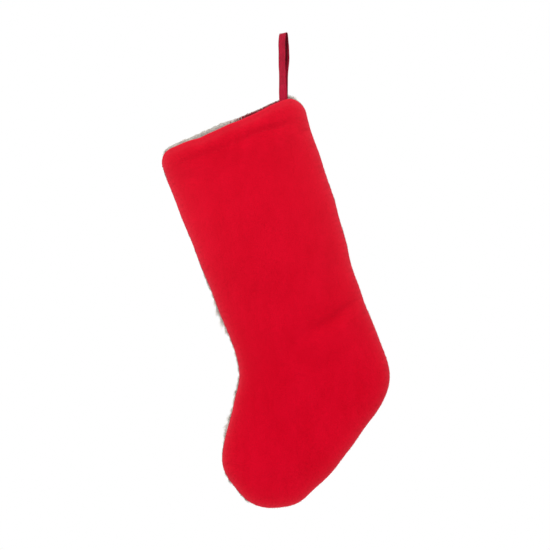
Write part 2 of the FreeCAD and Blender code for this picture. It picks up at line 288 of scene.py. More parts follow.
def mesh_object(name, points, faces, sizes=None):
    """A mesh in metres from flat arrays; faces all of one size, or with a size for each."""
    mesh = bpy.data.meshes.new(name)
    if sizes is None:
        sizes = np.full(len(faces), faces.shape[1])
    loops = np.asarray(faces).ravel().astype(np.int32)
    mesh.vertices.add(len(points))
    mesh.vertices.foreach_set("co", np.asarray(points, np.float32).ravel())
    mesh.loops.add(len(loops))
    mesh.loops.foreach_set("vertex_index", loops)
    mesh.polygons.add(len(sizes))
    starts = np.concatenate([[0], np.cumsum(sizes)[:-1]]).astype(np.int32)
    mesh.polygons.foreach_set("loop_start", starts)
    mesh.update(calc_edges=True)
    mesh.validate()
    mesh.polygons.foreach_set("use_smooth", np.ones(len(mesh.polygons), bool))
    thing = bpy.data.objects.new(name, mesh)
    bpy.context.collection.objects.link(thing)
    return thing


def vertex_normals(points, faces):
    """Normals of a triangle mesh's vertices, each face counted by its area."""
    a, b, c = (points[faces[:, k]] for k in range(3))
    face = np.cross(b - a, c - a)
    total = np.zeros_like(points)
    for k in range(3):
        np.add.at(total, faces[:, k], face)
    return total / np.maximum(np.linalg.norm(total, axis=1)[:, None], 1e-12)


def flat_grid(edge_path, top, step):
    """Triangles over the plan region under a mouth line, with rows along its edges.

    edge_path is the region's side and top the height of its mouth line. Returns points,
    triangles, the closed boundary's vertex order and how many of its vertices are the side's.
    """
    under = np.flatnonzero(above_mouth(edge_path)[0] < top)
    side = resampled(edge_path[under[0]:under[-1] + 1], step)
    for end in (0, -1):
        side[end] += MOUTH_UP * (top - above_mouth(side[[end]])[0][0])
    across = side[0] - side[-1]
    count = int(np.linalg.norm(across) / step)
    lip = side[-1] + np.linspace(0, 1, count + 1)[:, None] * across
    loop = np.vstack([side, lip[1:-1]])

    low, high = loop.min(0), loop.max(0)
    grid = []
    for number, z in enumerate(np.arange(low[1], high[1], step * math.sqrt(3) / 2)):
        x = np.arange(low[0] + (number % 2) * step / 2, high[0], step)
        grid.append(np.column_stack([x, np.full(len(x), z)]))
    grid = np.vstack(grid)
    tree = search_tree(planar(loop))
    gap = np.array([tree.find(place)[2] for place in planar(grid)])
    grid = grid[(gap > 0.62 * step) & in_polygon(grid, loop)]
    points = [Vector(point) for point in np.vstack([loop, grid])]
    edges = [(k, (k + 1) % len(loop)) for k in range(len(loop))]
    flat, _, faces, *_ = delaunay_2d_cdt(points, edges, [], 1, 1e-7)
    flat = np.array([point[:] for point in flat])
    return flat, np.array(faces, np.int64), np.arange(len(loop)), len(side)


def in_polygon(points, loop):
    """Which points are inside a closed loop: the even-odd rule, one edge at a time."""
    x, z = points[:, 0], points[:, 1]
    inside = np.zeros(len(points), bool)
    for (x0, z0), (x1, z1) in zip(loop, np.roll(loop, -1, axis=0)):
        if z0 != z1:
            inside ^= ((z0 > z) != (z1 > z)) & (x < (x1 - x0) * (z - z0) / (z1 - z0) + x0)
    return inside


# ---------------------------------------------------------------- the bag's shape

HEEL_FOLD = (np.array([99.0, -311.0]), np.array([-20.0, -379.0]))
TOE_FOLD = (np.array([-72.0, -513.0]), np.array([-40.0, -527.0]))
SWELL = Waves(95, seed=3)
RIPPLE = Waves(34, seed=4)
PUCKER = Waves(9, dims=1, seed=5)
PUCKER_LONG = Waves(23, dims=1, seed=6)
# Soft dents and rises in the cloth: x, z, half-width, half-height and rise.
DENTS = (
    (-114, -174, 13, 9, -1.8), (-134, -161, 8, 9, 0.9), (64, -278, 12, 40, -2.7),
    (25, -117, 6, 6, -2.2), (-57, -466, 8, 24, -1.1), (86, -334, 12, 10, 1.2),
    (52, -208, 10, 34, -1.2), (14, -143, 9, 20, -0.9),
)


def fold(points, line, depth, width, bow=0.0):
    """A soft crease along a line: a groove with a low ridge under it, fading to its end."""
    start, stop = line
    way = stop - start
    length = np.linalg.norm(way)
    way = way / length
    side = np.array([way[1], -way[0]])
    if side[1] > 0:
        side = -side
    along = (points - start) @ way / length
    across = (points - start) @ side - bow * np.sin(np.clip(along, 0, 1) * math.pi)
    fade = smooth(along, 0.95, 0.30) * smooth(along, 0.0, 0.28)
    spread = width * (0.8 + 0.7 * np.clip(along, 0, 1))
    ridge = 0.45 * bell(across, 2.6 * width, 2.2 * spread)
    return depth * fade * (-bell(across, 0, spread) + ridge)


def relief(flat, inset, found):
    """How far the cloth stands off its even shape, in mm, from folds, dents and the seam."""
    off = fold(flat, HEEL_FOLD, 3.5, 7.2, 9.0)
    off += fold(flat, TOE_FOLD, 1.3, 3.4)
    for x, z, wide, high, depth in DENTS:
        off += depth * bell(flat[:, 0], x, wide) * bell(flat[:, 1], z, high)
    middle = smooth(inset, 4, 30)
    off += middle * (0.75 * SWELL(flat) + 0.22 * RIPPLE(flat))
    reach = found[:, None] * OUTLINE_STEP
    near_seam = smooth(inset, 13, 1.5) * smooth(inset, -12, 0)
    off += near_seam * (0.32 * PUCKER(reach) + 0.4 * PUCKER_LONG(reach))
    return off


def over_hem(height, share):
    """Height over the hem's row of stitches, in mm."""
    return height - near_lip(share) + hem_depth_at(share)


def hem_relief(height, along, depth):
    """The hem: a fuller band over a stitched groove, puckered a little along it."""
    share = mouth_share(along)
    over = over_hem(height, share)
    stitches = 0.93 + 0.07 * np.cos(along * 2 * math.pi / HEM_PITCH)
    sewn = 0.45 + 0.6 * smooth(share, 0.3, 0.6)
    groove = sewn * stitches * bell(over, -0.6, 5.6) + 0.2 * bell(over, -3, 12)
    groove *= 0.25 + 0.75 * smooth(share, 0.08, 0.17) * smooth(share, 0.92, 0.85)
    groove *= 1 + 0.28 * np.sin(share * 11 + 6.2)
    puff = smooth(over, -1, 10) * smooth(height - near_lip(share), 1.5, -8)
    rows = 0.18 * np.sin(along * 2 * math.pi / 13 + np.sin(along / 9)) * bell(over, 3.5, 5)
    return depth * (-1.5 * groove + 0.7 * puff + rows)


def hem_fall(over):
    """How far the cloth under the hem falls back from the hem's fuller band, in mm."""
    back_out = 1 - smooth(over, -30, -140)
    return back_out * (1.7 * smooth(over, 4, -9) + 2.3 * smooth(over, -3, -34))


def drift(flat):
    """The whole stocking hangs a little bowed and twisted, in mm along y."""
    below = smooth(flat[:, 1], -115, -240)
    bow = -2.2 * np.sin((-flat[:, 1] - 115) / 92)
    toe = 3.4 * smooth(flat[:, 1], -430, -575)
    return below * (bow + 0.016 * flat[:, 0]) - toe


def rolled_edge(inside):
    """The rounding into the seam: plan distance from it, and rise from 0 to 1."""
    turn = SEAM_DIP + (math.pi / 2 - SEAM_DIP) * np.clip((inside + RIM) / (2 * RIM), 0, 1)
    inset = np.where(inside < RIM, RIM * (1 - np.cos(turn)), inside)
    return inset, (np.sin(turn) - math.sin(SEAM_DIP)) / (1 - math.sin(SEAM_DIP))


def fullness(z, inside, rise, at_mouth, by_ribbon, forwards):
    """How far one half stands off the seam's plane, as a share of its depth.

    It is flatter at the mouth, but not where the ribbon is sewn in.
    """
    crown = 1 - (1 - np.clip(inside / 62, 0, 1)) ** 2
    fuller = (0.30 if forwards else 0.12) * smooth(z, -90, -200)
    full = 0.82 * rise + (0.16 + fuller) * crown
    if not forwards:
        return full * (1 - 0.22 * at_mouth * (1 - 0.3 * by_ribbon))
    full *= 1 - 0.14 * at_mouth * (1 - by_ribbon)
    full *= 1 - 0.40 * smooth(z, -505, -574)
    return full + 0.16 * at_mouth * by_ribbon * rise * (1 - crown)


def lip_lift(height, along, forwards, lip_line):
    """How far a point near the mouth moves up with the lip, whose ends are rounded off."""
    toe_round = TOE_CORNER_ROUND if forwards else TOE_CORNER_ROUND + 5
    toe_drop = corner_drop(along - MOUTH_SPAN[0], toe_round) * smooth(height, -52, 0)
    heel_drop = corner_drop(MOUTH_SPAN[1] - along, HEEL_CORNER_ROUND) * smooth(height, -66, 0)
    lip = lip_line(np.clip(mouth_share(along), 0, 1))
    return smooth(height, -30, 0) * lip - toe_drop - heel_drop


def shape_half(flat, forwards, depth, lip_line, hem_depth):
    """Plan points to points in space, in mm, for one half of the bag.

    forwards is true for the plush half. Returns the points, their height over the mouth line,
    distance along it, rise over the seam and distance inside the outline.
    """
    inside, found = OUTLINE.near(flat)
    inset, rise = rolled_edge(inside)
    plan = flat + OUTLINE.normal[found] * (inside - inset)[:, None]
    height, along = above_mouth(plan)
    at_mouth = smooth(height, -75, 0)
    by_ribbon = bell(along, RIBBON_ALONG, 24)
    body = depth * fullness(plan[:, 1], inside, rise, at_mouth, by_ribbon, forwards)

    off = relief(flat, inside, found) * (1 - 0.75 * at_mouth * by_ribbon)
    off += hem_relief(height, along, hem_depth) * rise
    if forwards:
        fall = hem_fall(over_hem(height, mouth_share(along)))
        off -= fall * (1 - 0.9 * bell(along, RIBBON_ALONG, 15)) * rise
    body += off * smooth(rise, 0.02, 0.5)

    y = SEAM + (-1 if forwards else 1) * np.maximum(body, 0) + drift(plan)
    plan = plan + MOUTH_UP * lip_lift(height, along, forwards, lip_line)[:, None]
    return np.column_stack([plan[:, 0], y, plan[:, 1]]), height, along, rise, inside


def painted_light_share(inside, height, along, z):
    """Painted light, from 0 to 1: a paler colour that stands in for the sheen along the seam and the
    lip and for the light falling on the upper part.
    """
    lip = near_lip(np.clip(mouth_share(along), 0, 1)) - height
    seam, lip = np.maximum(inside, 0), np.maximum(lip, 0)
    # painted top light: the upper part is paler where the light from above falls
    upper = smooth(z, -460, -200)
    # painted sheen: paler along the seam and the lip, where the light catches the rounded edges
    return (0.50 * np.exp(-seam / 4.2) + 0.20 * np.exp(-lip / 3.5)
            + (0.06 + 0.12 * upper) * np.exp(-seam / 20) + 0.035 * upper)


def add_painted_light(thing, values):
    """Stores the painted light on the mesh, where the plush material reads it."""
    layer = thing.data.attributes.new("painted_light", "FLOAT", "POINT")
    layer.data.foreach_set("value", values.astype(np.float32))


def corner_drop(gap, radius):
    """How far a rounded corner falls under a straight edge, at a gap from its end."""
    inner = np.clip(radius - gap, 0, radius)
    return radius - np.sqrt(np.maximum(radius ** 2 - inner ** 2, 0))


def mouth_drop(along):
    """How far the mouth's two rounded corners fall under its line."""
    toe_drop = corner_drop(along - MOUTH_SPAN[0], TOE_CORNER_ROUND)
    return toe_drop + corner_drop(MOUTH_SPAN[1] - along, HEEL_CORNER_ROUND)


def closed_shell(points, faces, boundary, sides, thickness, roll):
    """Cloth with an outer and an inner face, a rolled lip along the mouth and a plain seam edge.

    points are the outer face, thickness one value for each, and roll the lip's rows.
    """
    normal = vertex_normals(points, faces)
    everything = [points, points - normal * thickness[:, None]]
    triangles = [faces, faces[:, ::-1] + len(points)]
    total = 2 * len(points)
    lip = np.concatenate([boundary[sides - 1:], boundary[:1]])
    half = thickness[lip, None] / 2
    middle = points[lip] - normal[lip] * half
    outward = np.cross(unit(np.gradient(points[lip], axis=0)), normal[lip])
    outward *= np.sign(outward @ np.array([MOUTH_UP[0], 0, MOUTH_UP[1]]))[:, None]
    rows = [lip]
    for step in range(1, roll):
        angle = math.pi * step / roll
        across = math.cos(angle) * normal[lip] + 1.15 * math.sin(angle) * outward
        everything.append(middle + half * across)
        rows.append(np.arange(total, total + len(lip)))
        total += len(lip)
    rows.append(lip + len(points))
    for upper, lower in zip(rows[:-1], rows[1:]):
        triangles += strip(upper, lower)
    seam = boundary[:sides]
    triangles += strip(seam, seam + len(points))
    triangles.append(fan([row[0] for row in rows]))
    triangles.append(fan([row[-1] for row in rows])[:, ::-1])
    return np.vstack(everything), np.vstack(triangles)


def strip(upper, lower):
    """Triangles between two rows of vertices."""
    a, b, c, d = upper[:-1], upper[1:], lower[1:], lower[:-1]
    return [np.column_stack([a, d, c]), np.column_stack([a, c, b])]


def fan(ring):
    """Triangles that fill a ring of vertices."""
    return np.array([[ring[0], ring[k], ring[k + 1]] for k in range(1, len(ring) - 1)])


def turned_out(points, faces, flat, forwards):
    """The faces, flipped if need be so that their normals point out of the bag."""
    middle = np.argmin(np.linalg.norm(flat - BAG_MIDDLE, axis=1))
    inwards = (vertex_normals(points, faces)[middle, 1] > 0) == forwards
    return faces[:, ::-1] if inwards else faces


def panel(name, forwards, depth, lip_line, walls, hem_depth):
    """One outer cloth: the closed shell, its outer face in mm, and how much painted light each point
    has.
    """
    step = 1.75
    flat, faces, boundary, sides = flat_grid(OUTLINE.offset(-RIM), 0, step)
    points, height, along, rise, inside = shape_half(flat, forwards, depth, lip_line, hem_depth)
    faces = turned_out(points, faces, flat, forwards)
    single, double = walls
    in_hem = smooth(height + hem_depth_at(mouth_share(along)), -2.5, -0.8)
    thickness = single + (double - single) * np.minimum(in_hem, smooth(rise, 0.25, 0.7))
    shell, triangles = closed_shell(points, faces, boundary, sides, thickness, 6)
    thing = mesh_object(name, shell * MM, triangles)
    # painted light: paler where the light catches the seam, the lip and the upper part; the lip's
    # rolled rows get a middling share
    painted_light = painted_light_share(inside, height, along, points[:, 2])
    lip_painted_sheen = np.full(len(shell) - 2 * len(points), 0.32)
    add_painted_light(thing, np.concatenate([painted_light, painted_light, lip_painted_sheen]))
    fix_normals(thing)
    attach(thing, "stocking")
    return thing, points, faces, painted_light


def fix_normals(thing):
    """All faces point out of the closed cloth."""
    bpy.context.view_layer.objects.active = thing
    bpy.ops.object.select_all(action="DESELECT")
    thing.select_set(True)
    bpy.ops.object.mode_set(mode="EDIT")
    bpy.ops.mesh.select_all(action="SELECT")
    bpy.ops.mesh.normals_make_consistent(inside=False)
    bpy.ops.object.mode_set(mode="OBJECT")


# ---------------------------------------------------------------- materials

PAINTED_SHEEN = (0.66, 0.036, 0.058)     # painted sheen and top light: the paler red that stands in for the light on the rims, the lip and the upper part


class Surface:
    """A material being made: its main shader's sockets, and short ways to add nodes."""

    def __init__(self, name, rough, specular=None):
        self.made = bpy.data.materials.new(name)
        self.made.use_nodes = True
        self.nodes = self.made.node_tree.nodes
        self.links = self.made.node_tree.links
        self.sockets = self.nodes["Principled BSDF"].inputs
        self.sockets["Roughness"].default_value = rough
        if specular is not None:
            self.sockets["Specular IOR Level"].default_value = specular

    def plain(self, colour):
        """One base colour all over."""
        self.sockets["Base Color"].default_value = (*colour, 1)

    def coloured(self, colour):
        """A base colour from another node."""
        self.links.new(colour, self.sockets["Base Color"])

    def sheen(self, weight, rough, tint):
        self.sockets["Sheen Weight"].default_value = weight
        self.sockets["Sheen Roughness"].default_value = rough
        self.sockets["Sheen Tint"].default_value = (*tint, 1)

    def place(self, scale=(1, 1, 1), turn=(0, 0, 0)):
        """Object coordinates, scaled and turned."""
        mapping = self.nodes.new("ShaderNodeMapping")
        mapping.inputs["Scale"].default_value = scale
        mapping.inputs["Rotation"].default_value = turn
        source = self.nodes.new("ShaderNodeTexCoord")
        self.links.new(source.outputs["Object"], mapping.inputs["Vector"])
        return mapping.outputs["Vector"]

    def noise(self, place, scale, detail=3.0, rough=0.55):
        made = self.nodes.new("ShaderNodeTexNoise")
        made.inputs["Scale"].default_value = scale
        made.inputs["Detail"].default_value = detail
        made.inputs["Roughness"].default_value = rough
        self.links.new(place, made.inputs["Vector"])
        return made.outputs["Fac"]

    def wave(self, place, scale, distortion, direction="X"):
        made = self.nodes.new("ShaderNodeTexWave")
        made.bands_direction = direction
        made.inputs["Scale"].default_value = scale
        made.inputs["Distortion"].default_value = distortion
        self.links.new(place, made.inputs["Vector"])
        return made.outputs["Fac"]

    def ramp(self, value, low, high):
        """A blend of two colours over a value; low and high are (value, colour)."""
        made = self.nodes.new("ShaderNodeValToRGB")
        for element, (stop, colour) in zip(made.color_ramp.elements, (low, high)):
            element.position = stop
            element.color = (*colour, 1)
        self.links.new(value, made.inputs["Fac"])
        return made.outputs["Color"]

    def mix(self, kind, a):
        """A colour mix of a with a second colour: the node, for its share and second colour."""
        made = self.nodes.new("ShaderNodeMix")
        made.data_type = "RGBA"
        made.blend_type = kind
        self.links.new(a, made.inputs[6])
        return made

    def multiplied(self, a, b):
        """Two colours multiplied."""
        made = self.mix("MULTIPLY", a)
        made.inputs[0].default_value = 1.0
        self.links.new(b, made.inputs[7])
        return made.outputs[2]

    def maths(self, kind, a, b):
        """A sum, product or the like of two values, each a constant or a node's output."""
        made = self.nodes.new("ShaderNodeMath")
        made.operation = kind
        for socket, value in zip(made.inputs, (a, b)):
            if isinstance(value, float):
                socket.default_value = value
            else:
                self.links.new(value, socket)
        return made.outputs[0]

    def added(self, a, b, share):
        """a plus a share of b."""
        return self.maths("ADD", a, self.maths("MULTIPLY", b, share))

    def bump(self, height, strength, distance):
        made = self.nodes.new("ShaderNodeBump")
        made.inputs["Strength"].default_value = strength
        made.inputs["Distance"].default_value = distance
        self.links.new(height, made.inputs["Height"])
        self.links.new(made.outputs["Normal"], self.sockets["Normal"])


def plush_material():
    """Short red pile: nap that lies in broad patches, with a fine grain of tufts, and a painted sheen
    and top light mixed in from the mesh.
    """
    plush = Surface("red_plush", 0.92, 0.02)
    place = plush.place()
    brushed = plush.place((1, 1, 0.35), (0, math.radians(18), 0))
    patches = plush.noise(place, 16, 2)
    strokes = plush.noise(brushed, 95, 3)
    grain = plush.noise(place, 950, 2, 0.6)
    fine = plush.noise(place, 2600, 1, 0.5)
    nap = plush.added(plush.maths("MULTIPLY", patches, 0.55), strokes, 0.45)
    base = plush.ramp(nap, (0.32, (0.545, 0.0008, 0.0125)), (0.68, (0.610, 0.0016, 0.0170)))
    tufts = plush.ramp(grain, (0.30, (0.84, 0.78, 0.82)), (0.66, (1.0, 1.0, 1.0)))
    # painted sheen and top light: the base goes towards a paler red where the mesh's painted light is
    # high
    painted_sheen_mix = plush.mix("MIX", plush.multiplied(base, tufts))
    painted_sheen_mix.inputs[7].default_value = (*PAINTED_SHEEN, 1)
    edge = plush.nodes.new("ShaderNodeAttribute")
    edge.attribute_name = "painted_light"
    plush.links.new(edge.outputs["Fac"], painted_sheen_mix.inputs[0])
    plush.coloured(painted_sheen_mix.outputs[2])
    plush.sheen(0.55, 0.28, (1.0, 0.40, 0.52))
    plush.bump(plush.added(grain, fine, 0.5), 0.55, 0.0007)
    return plush.made


def pile_material(name, share):
    """One shade of the plush's pile, with its share of the painted sheen's paler colour."""
    pile = Surface(name, 0.9, 0.0)
    deep = (0.57, 0.0016, 0.0150)
    pile.plain([a + (b - a) * share for a, b in zip(deep, PAINTED_SHEEN)])
    pile.sheen(0.10, 0.3, (1.0, 0.40, 0.52))
    return pile.made


def knit_material():
    """The knitted ground that the grey fur grows from."""
    knit = Surface("fur_ground", 0.95)
    grain = knit.noise(knit.place(), 420, 3, 0.6)
    knit.coloured(knit.ramp(grain, (0.3, (0.24, 0.222, 0.20)), (0.7, (0.50, 0.475, 0.43))))
    knit.bump(grain, 0.6, 0.0008)
    return knit.made


def fur_material(name, colour):
    """One shade of the fur's fibres, the same all over, as dyed fibre is."""
    fur = Surface(name, 0.62, 0.3)
    fur.plain(colour)
    fur.sheen(0.25, 0.4, (1.0, 0.97, 0.92))
    return fur.made


def lining_material():
    """Thin dark red lining cloth in a fine plain weave."""
    cloth = Surface("lining", 0.55)
    place = cloth.place()
    weave = cloth.maths("MAXIMUM", cloth.wave(place, 850, 0.4, "X"), cloth.wave(place, 850, 0.4, "Z"))
    soft = cloth.noise(place, 30, 2)
    cloth.coloured(cloth.ramp(soft, (0.3, (0.115, 0.004, 0.010)), (0.7, (0.170, 0.006, 0.015))))
    cloth.sheen(0.15, 0.4, (1.0, 0.3, 0.3))
    cloth.bump(weave, 0.35, 0.0003)
    return cloth.made


def ribbon_material(name, dark, light, rough):
    """Crimson satin: fine threads across the ribbon, and a soft streaky shine."""
    satin = Surface(name, rough, 0.5)
    threads = satin.wave(satin.place(), 1150, 0.5, "Z")
    soft = satin.noise(satin.place((1, 1, 0.12)), 700, 3)
    base = satin.ramp(soft, (0.3, dark), (0.7, light))
    lines = satin.ramp(threads, (0.0, (0.80, 0.80, 0.80)), (0.6, (1.0, 1.0, 1.0)))
    satin.coloured(satin.multiplied(base, lines))
    satin.sockets["Specular Tint"].default_value = (1.0, 0.10, 0.22, 1)
    satin.sockets["Anisotropic"].default_value = 0.5
    satin.bump(satin.added(threads, soft, 0.8), 0.45, 0.0002)
    return satin.made


def thread_material(name, dark, light):
    """Spun sewing thread: a slanting twist along each stitch."""
    thread = Surface(name, 0.6, 0.15)
    twist = thread.wave(thread.place((1, 1, 1), (0.6, 0.5, 0.4)), 500, 1.0)
    thread.coloured(thread.ramp(twist, (0.2, dark), (0.8, light)))
    thread.bump(twist, 0.5, 0.0002)
    return thread.made


def dress(thing, made):
    """Gives a piece its material."""
    thing.data.materials.clear()
    thing.data.materials.append(made)


# ---------------------------------------------------------------- fur and pile

FUR_FIBRES = 138000
FUR_TUFTS = 5200
FUR_LENGTH = 7.2
FUR_ROWS = 4                # places along a fibre
SEAM_FIBRES = 7000
LIP_FIBRES = 22000
PILE_FIBRES = 66000


def scatter(points, faces, count, draw):
    """Random places on a triangle mesh, even by area: (place, triangle)."""
    a, b, c = (points[faces[:, k]] for k in range(3))
    area = np.linalg.norm(np.cross(b - a, c - a), axis=1)
    reach = np.cumsum(area)
    chosen = np.searchsorted(reach, draw.uniform(0, reach[-1], count))
    u, v = draw.uniform(size=(2, count))
    over = u + v > 1
    u[over], v[over] = 1 - u[over], 1 - v[over]
    spot = a[chosen] + u[:, None] * (b - a)[chosen] + v[:, None] * (c - a)[chosen]
    return spot, chosen


def fur_strands(points, faces, count, draw):
    """Bent fibres on the fur front, gathered in tufts.

    Returns places along each fibre, root to tip, in mm, its tuft, and a tone for each tuft.
    """
    normal = vertex_normals(points, faces)
    spot, chosen = scatter(points, faces, count, draw)
    grown = unit(normal[faces[chosen]].mean(1)) * math.copysign(1, normal[:, 1].mean())
    centres, _ = scatter(points, faces, FUR_TUFTS, draw)
    tree = search_tree(centres)
    tuft = np.array([tree.find(place)[1] for place in spot])

    down = np.array([0.28, 0.0, -1.0])
    lay = unit(down + 0.55 * np.column_stack([
        Waves(55, 3, seed=21)(spot), np.zeros(count), Waves(48, 3, seed=22)(spot)]))
    lean = draw.normal(size=(FUR_TUFTS, 3)) * 0.42
    length = FUR_LENGTH * draw.uniform(0.72, 1.15, count)
    length *= draw.uniform(0.85, 1.12, FUR_TUFTS)[tuft]
    stray = draw.normal(size=(count, 3)) * 0.20
    curl = unit(draw.normal(size=(count, 3)))

    rows = [spot]
    way = unit(grown * 0.95 + lay * 0.35 + stray + 0.5 * lean[tuft])
    gather = centres[tuft] + unit(grown + lay * 0.6 + lean[tuft]) * (length * 0.8)[:, None]
    for share in np.linspace(0, 1, FUR_ROWS)[1:]:
        way = unit(way + lay * 0.42 * share + lean[tuft] * 0.30 + curl * 0.22 * share)
        rows.append(rows[-1] + way * (length / (FUR_ROWS - 1))[:, None])
    strands = np.stack(rows, axis=1)
    pull = (0.38 * np.linspace(0, 1, FUR_ROWS) ** 1.5)[None, :, None]
    strands = strands * (1 - pull) + gather[:, None] * pull
    return lifted(held_back(strands, draw), draw), tuft, draw.uniform(size=FUR_TUFTS)


FRINGE = Waves(11, dims=1, seed=31)
FRINGE_LONG = Waves(47, dims=1, seed=32)


def fringe_reach(found):
    """How far the fur may show past the seam line, in mm, along the outline."""
    x, z = OUTLINE.path[found].T
    shin = smooth(z, -262, -322) * smooth(z, -515, -480)
    toe = 0.8 * smooth(z, -520, -536) * smooth(z, -568, -556)
    reach = 3.1 + 1.9 * bell(z, -333, 22) - 1.0 * bell(z, -395, 26) + 0.8 * bell(z, -462, 24)
    run = found[:, None] * OUTLINE_STEP
    tufty = 0.9 + 0.55 * FRINGE(run) + 0.45 * FRINGE_LONG(run)
    return np.where(x < -30, reach * np.maximum(shin, toe) * tufty, 0) - 0.35


def lip_reach(along):
    """How far the fur stands over the mouth line, in mm."""
    share = np.clip(mouth_share(along), 0, 1)
    reach = 0.4 + 5.4 * smooth(share, 0.04, 0.22) * smooth(share, 0.58, 0.46)
    reach += 7.4 * smooth(share, 0.895, 0.925) * smooth(share, 0.99, 0.97)
    reach *= 1 + 0.16 * FRINGE(along[:, None])
    return -3.1 + lip_wave(share) + reach - mouth_drop(along)


def along_fibre(strands):
    """How far each place of a fibre moves when its tip moves by 1."""
    rows = strands.shape[1]
    return (np.arange(rows) / (rows - 1)) ** 0.8


def held_back(strands, draw):
    """Fibres by the seam lie back, and reach past it only where the fur shows."""
    tips = strands[:, -1][:, [0, 2]]
    inside, found = OUTLINE.near(tips)
    allowed = fringe_reach(found) * draw.uniform(0.1, 0.6, len(tips))
    over = np.maximum(-inside - allowed, 0)[:, None] * along_fibre(strands)
    seam = SEAM + drift(tips)
    strands[:, :, 0] -= over * OUTLINE.normal[found][:, [0]]
    strands[:, :, 2] -= over * OUTLINE.normal[found][:, [1]]
    strands[:, :, 1] = np.maximum(strands[:, :, 1] + 0.45 * over, seam[:, None] + 0.25)
    return strands


def lifted(strands, draw):
    """Fibres at the lip stand up over it, by as much as shows there."""
    height, along = above_mouth(strands[:, -1][:, [0, 2]])
    over = np.maximum(height - lip_reach(along) * draw.uniform(0.7, 1.1, len(along)), 0)
    over = over[:, None] * along_fibre(strands)
    strands[:, :, 0] -= over * MOUTH_UP[0]
    strands[:, :, 2] -= over * MOUTH_UP[1]
    return strands


def bent(root, tip, bend):
    """Fibres from root to tip, bowed sideways in the middle."""
    share = np.linspace(0, 1, FUR_ROWS)[None, :, None]
    return root[:, None] + (tip - root)[:, None] * share + bend[:, None] * np.sin(share * math.pi)


def seam_fringe(count, draw):
    """Fibres that lie out past the seam line on the toe side."""
    reach = fringe_reach(np.arange(len(OUTLINE.path)))
    shown = np.flatnonzero(reach > 0.3)
    found = draw.choice(shown, count)
    plan, normal = OUTLINE.path[found], OUTLINE.normal[found]
    along = np.column_stack([-normal[:, 1], normal[:, 0]])
    seam = SEAM + drift(plan)
    inset = draw.uniform(0.6, 3.0, count)
    root = plan - normal * inset[:, None]
    out = reach[found] * draw.uniform(0.35, 1.12, count) ** 0.7
    slide = out * (0.55 + 0.45 * draw.normal(size=count))
    slide += 0.9 * FRINGE(found[:, None] * OUTLINE_STEP + 5)
    tip = plan + normal * out[:, None] + along * slide[:, None]
    deep = draw.uniform(0.8, 6.5, count)
    root = np.column_stack([root[:, 0], seam + deep, root[:, 1]])
    tip = np.column_stack([tip[:, 0], seam + deep * 0.8 + draw.normal(size=count) * 0.8, tip[:, 1]])
    tip[:, 1] = np.maximum(tip[:, 1], seam + 0.3)
    return bent(root, tip, draw.normal(size=(count, 3)) * 0.55)


def lip_fringe(count, draw):
    """Fibres that stand up over the fur side's lip, more of them on its toe half."""
    along = draw.uniform(MOUTH_SPAN[0] + 4, MOUTH_SPAN[1] - 3, count)
    furred = draw.uniform(size=count) < 0.6
    along[furred] = MOUTH_SPAN[0] + 4 + (along[furred] - MOUTH_SPAN[0]) * 0.56
    reach = lip_reach(along)
    share = mouth_share(along)
    base = far_lip(share) - mouth_drop(along)
    keep = (reach > base - 1.4) & ((share < 0.60) | (share > 0.885))
    along, reach, base = along[keep], reach[keep], base[keep]
    count = len(along)
    low = base + draw.uniform(-3.6, 2.0, count)
    high = low + np.maximum(reach - low, 0.8) * draw.uniform(0.45, 1.05, count)
    slide = 1.2 * FRINGE(along[:, None] + 9) + 1.1 * draw.normal(size=count)
    middle = SEAM + FRONT_DEPTH * 0.80
    root, tip = mouth_place(along, low), mouth_place(along + slide, high)
    root = np.column_stack([root[:, 0], middle + draw.uniform(-3.6, 1.0, count), root[:, 1]])
    tip = np.column_stack([tip[:, 0], middle + draw.uniform(-4.0, 3.2, count), tip[:, 1]])
    return bent(root, tip, draw.normal(size=(count, 3)) * 0.5)


def strand_mesh(name, strands, width, draw):
    """Flat tapering blades, wide at the root, one for each fibre."""
    count, steps, _ = strands.shape
    side = np.cross(np.gradient(strands, axis=1), draw.normal(size=(count, 1, 3)))
    side /= np.maximum(np.linalg.norm(side, axis=2, keepdims=True), 1e-9)
    rows = steps - 1
    wide = side[:, :-1] * (np.linspace(1, 0.45, rows) * width / 2)[None, :, None]
    left, right = strands[:, :-1] - wide, strands[:, :-1] + wide
    points = np.concatenate([left, right, strands[:, -1:]], axis=1)
    first = np.arange(count)[:, None] * points.shape[1]
    quads = [first + np.array([k, rows + k, rows + k + 1, k + 1]) for k in range(rows - 1)]
    quads = np.stack(quads, axis=1).reshape(-1, 4)
    tips = first + np.array([rows - 1, 2 * rows - 1, 2 * rows])
    loops = np.concatenate([quads.ravel(), tips.ravel()])
    sizes = np.concatenate([np.full(len(quads), 4), np.full(count, 3)])
    return mesh_object(name, points.reshape(-1, 3) * MM, loops, sizes)


# The fur's shades: colour, and share of the fibres, pale to dark.
SHADES = (
    ("fur_pale", (0.80, 0.77, 0.72), 0.18),
    ("fur_light", (0.66, 0.625, 0.575), 0.24),
    ("fur_mid", (0.52, 0.49, 0.445), 0.22),
    ("fur_warm", (0.44, 0.365, 0.325), 0.16),
    ("fur_grey", (0.33, 0.31, 0.29), 0.12),
    ("fur_dark", (0.19, 0.17, 0.155), 0.08),
)
PATCHES = Waves(60, 3, seed=61)


